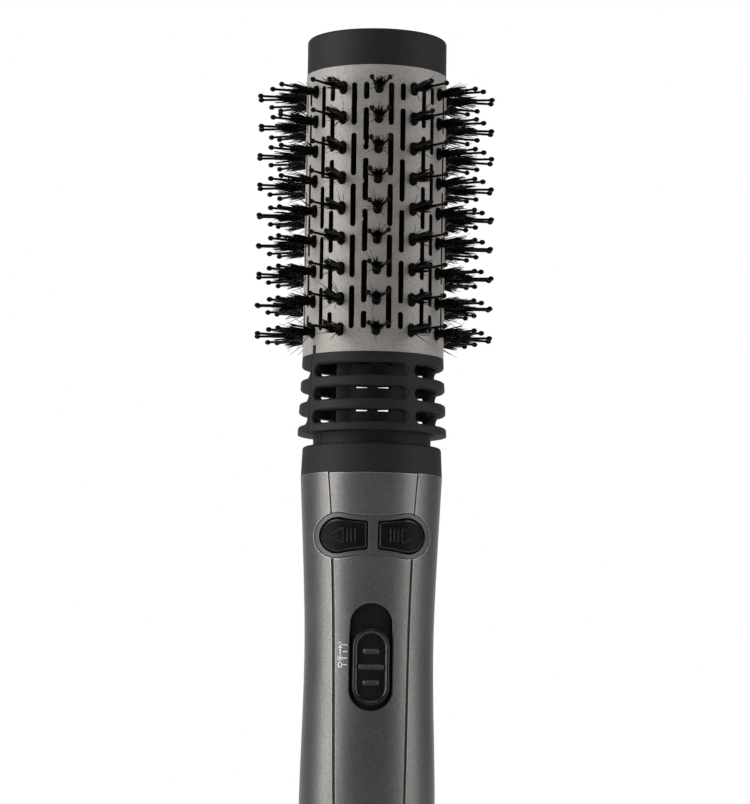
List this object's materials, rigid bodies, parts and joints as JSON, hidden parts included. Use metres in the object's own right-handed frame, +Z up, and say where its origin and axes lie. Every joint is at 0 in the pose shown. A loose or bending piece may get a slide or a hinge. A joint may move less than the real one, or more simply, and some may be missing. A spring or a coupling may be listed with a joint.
{
  "type": "rotating hot air brush",
  "caption": "Upright rotating hot air styling brush: slotted bristled barrel, vent cage, collar, and a waisted handle with direction buttons, slide switch and slotted foot.",
  "frame": {"origin": "centre of the bounding box's bottom, on the resting face of the foot", "axes": "+Z up along the handle and barrel to the tip; the controls face -Y; +X to their right"},
  "size_m": [0.073, 0.073, 0.3224],
  "materials": {
    "satin_black": "fine satin moulded plastic",
    "barrel_coat": "champagne-grey ceramic coating, fine metallic",
    "metallic_paint": "titanium-grey metallic lacquer on plastic",
    "gloss_black": "polished black plastic",
    "bristle_nylon": "black nylon",
    "inner_black": "heat-proof moulded plastic",
    "gear_plastic": "natural acetal",
    "board_green": "glass-filled circuit board",
    "mica": "mica laminate",
    "heater_wire": "nickel-chrome wire",
    "steel": "plain steel",
    "brass": "turned brass"
  },
  "bodies": {
    "handle": {"gear_plate": "inner_black", "shaft_bush": "brass", "spin_gearbox": "brass", "spin_motor": "steel", "neck_bush": "gear_plastic", "top_collar": "satin_black", "front_shell": "metallic_paint", "rear_shell": "metallic_paint", "control_fascia": "metallic_paint", "button_bezel": "metallic_paint", "switch_track": "gloss_black", "control_pcb": "board_green", "slide_switch": "steel", "tact_switches": "inner_black", "pcb_screws": "steel", "shell_screws": "steel", "heater_core": "mica", "heater_coil": "heater_wire", "heater_sleeve": "mica", "heater_mount_lower": "inner_black", "heater_mount_upper": "inner_black", "thermostat": "steel", "thermal_fuse": "steel", "blower_motor": "steel", "motor_cradle": "inner_black", "base_cap": "satin_black", "inlet_filter": "steel"},
    "brush_head": {"end_cap": "satin_black", "barrel": "barrel_coat", "vent_cage_front": "satin_black", "vent_cage_rear": "satin_black", "barrel_hub": "inner_black", "brush_core": "inner_black", "drive_shaft": "steel", "output_gear": "gear_plastic", "neck_retainer": "steel", "bristle_strip_01": "bristle_nylon", "bristle_strip_02": "bristle_nylon", "bristle_strip_03": "bristle_nylon", "bristle_strip_04": "bristle_nylon", "bristle_strip_05": "bristle_nylon", "bristle_strip_06": "bristle_nylon", "bristle_strip_07": "bristle_nylon", "bristle_strip_08": "bristle_nylon", "bristle_strip_09": "bristle_nylon", "bristle_strip_10": "bristle_nylon", "bristle_strip_11": "bristle_nylon", "bristle_strip_12": "bristle_nylon"},
    "motor_pinion": {"drive_pinion": "brass"},
    "blower_fan": {"fan_impeller": "inner_black", "fan_shaft": "steel"},
    "button_left": {"left_button": "gloss_black"},
    "button_right": {"right_button": "gloss_black"},
    "power_switch": {"slide_knob": "gloss_black"},
    "cord_gland": {"cord_swivel": "satin_black", "swivel_clip": "steel"}
  },
  "joints": [
    {"name": "brush_spin", "type": "hinge", "parent": "handle", "child": "brush_head", "pos_m": [0, 0, 0.19], "axis": [0, 0, 1], "continuous": true},
    {"name": "pinion_spin", "type": "hinge", "parent": "handle", "child": "motor_pinion", "pos_m": [0, 0.012, 0.177], "axis": [0, 0, 1], "continuous": true},
    {"name": "fan_spin", "type": "hinge", "parent": "handle", "child": "blower_fan", "pos_m": [0, 0, 0.038], "axis": [0, 0, 1], "continuous": true},
    {"name": "left_button_press", "type": "slide", "parent": "handle", "child": "button_left", "axis": [0, 1, 0], "range_m": [0, 0.0006], "stiffness_N_per_m": 400},
    {"name": "right_button_press", "type": "slide", "parent": "handle", "child": "button_right", "axis": [0, 1, 0], "range_m": [0, 0.0006], "stiffness_N_per_m": 400},
    {"name": "power_slide", "type": "slide", "parent": "handle", "child": "power_switch", "axis": [0, 0, 1], "range_m": [0, 0.006]},
    {"name": "cord_swivel_turn", "type": "hinge", "parent": "handle", "child": "cord_gland", "pos_m": [0, 0, 0.008], "axis": [0, 0, 1], "continuous": true}
  ],
  "couplings": [
    {"joint": "pinion_spin", "follows": "brush_spin", "ratio": -3}
  ]
}
